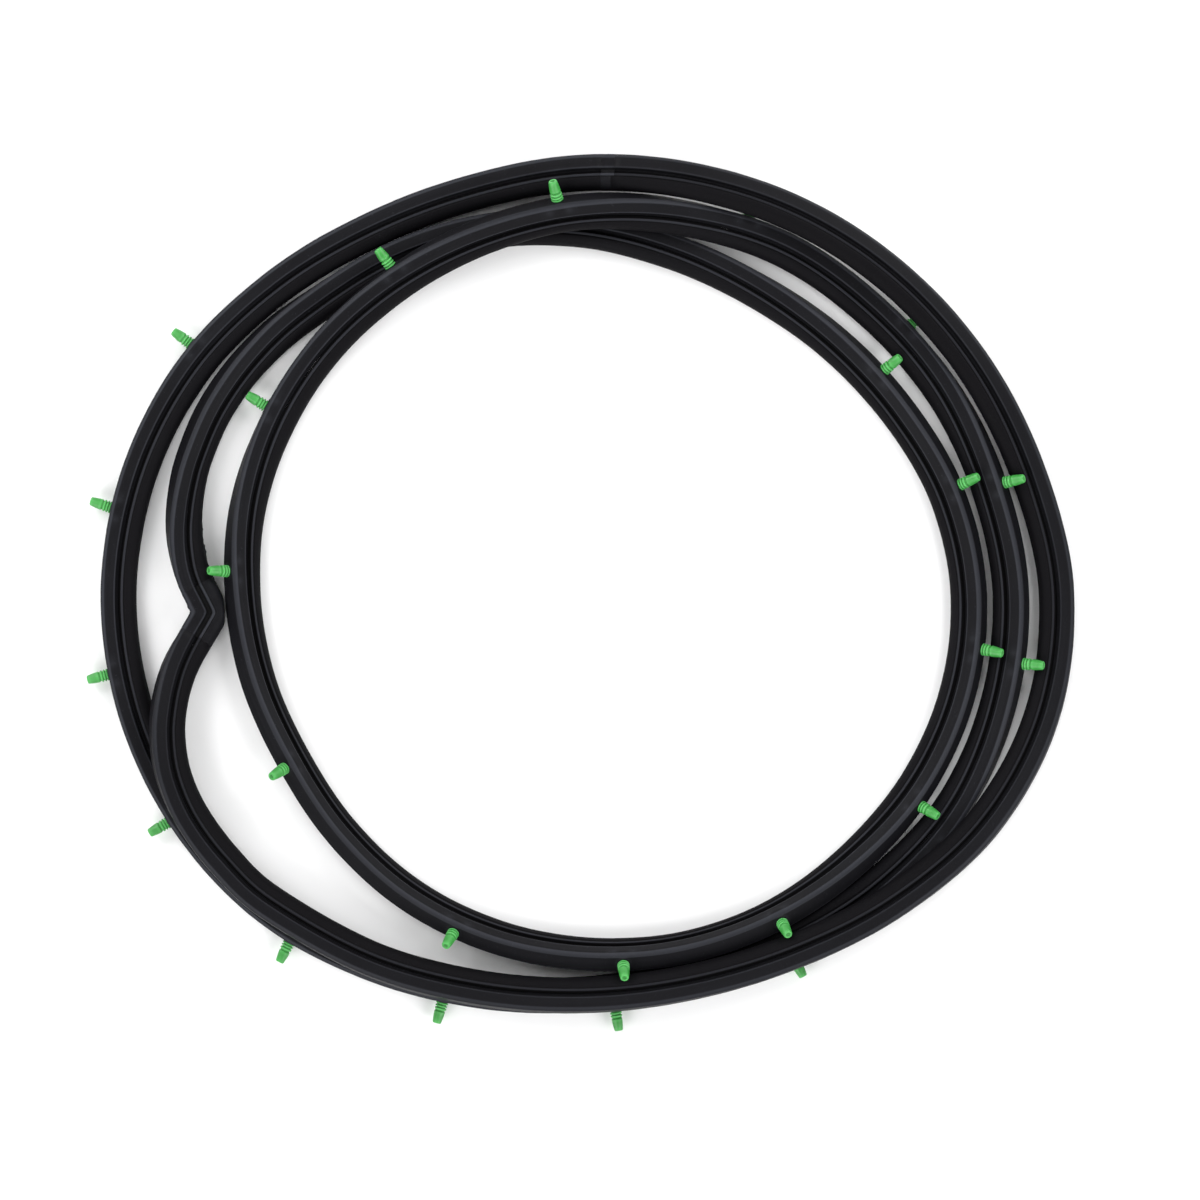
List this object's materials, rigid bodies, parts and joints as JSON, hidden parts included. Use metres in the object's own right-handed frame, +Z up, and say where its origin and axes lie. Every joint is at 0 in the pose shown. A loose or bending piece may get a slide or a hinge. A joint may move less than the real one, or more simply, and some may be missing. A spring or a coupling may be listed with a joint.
{
  "type": "door weatherstrip",
  "caption": "Closed loop of vehicle-door weatherstrip: dense rubber foot, hollow sponge bulb, mitred corner and push-in clips, loosely coiled and lying on its side.",
  "frame": {"origin": "centre of the coil's box, at the level of the surface that it lies on", "axes": "+Z up, square to the plane of the coil; +X along the coil's longest side, away from the mitred corner; the strip's foot and clips face out of the coil"},
  "size_m": [0.5449, 0.4822, 0.0352],
  "materials": {
    "base_rubber": "satin",
    "bulb_sponge": "matte",
    "moulded_rubber": "satin",
    "clip_nylon": "slightly translucent satin"
  },
  "bodies": {
    "root": {"door_run_base": "base_rubber", "door_run_bulb": "bulb_sponge", "window_run_base": "base_rubber", "window_run_bulb": "bulb_sponge", "corner_moulding": "moulded_rubber", "splice_joint": "moulded_rubber", "clip_01": "clip_nylon", "clip_02": "clip_nylon", "clip_03": "clip_nylon", "clip_04": "clip_nylon", "clip_05": "clip_nylon", "clip_06": "clip_nylon", "clip_07": "clip_nylon", "clip_08": "clip_nylon", "clip_09": "clip_nylon", "clip_10": "clip_nylon", "clip_11": "clip_nylon", "clip_12": "clip_nylon", "clip_13": "clip_nylon", "clip_14": "clip_nylon", "clip_15": "clip_nylon", "clip_16": "clip_nylon", "clip_17": "clip_nylon", "clip_18": "clip_nylon", "clip_19": "clip_nylon", "clip_20": "clip_nylon", "clip_21": "clip_nylon", "clip_22": "clip_nylon", "clip_23": "clip_nylon", "clip_24": "clip_nylon", "clip_25": "clip_nylon"}
  },
  "joints": []
}
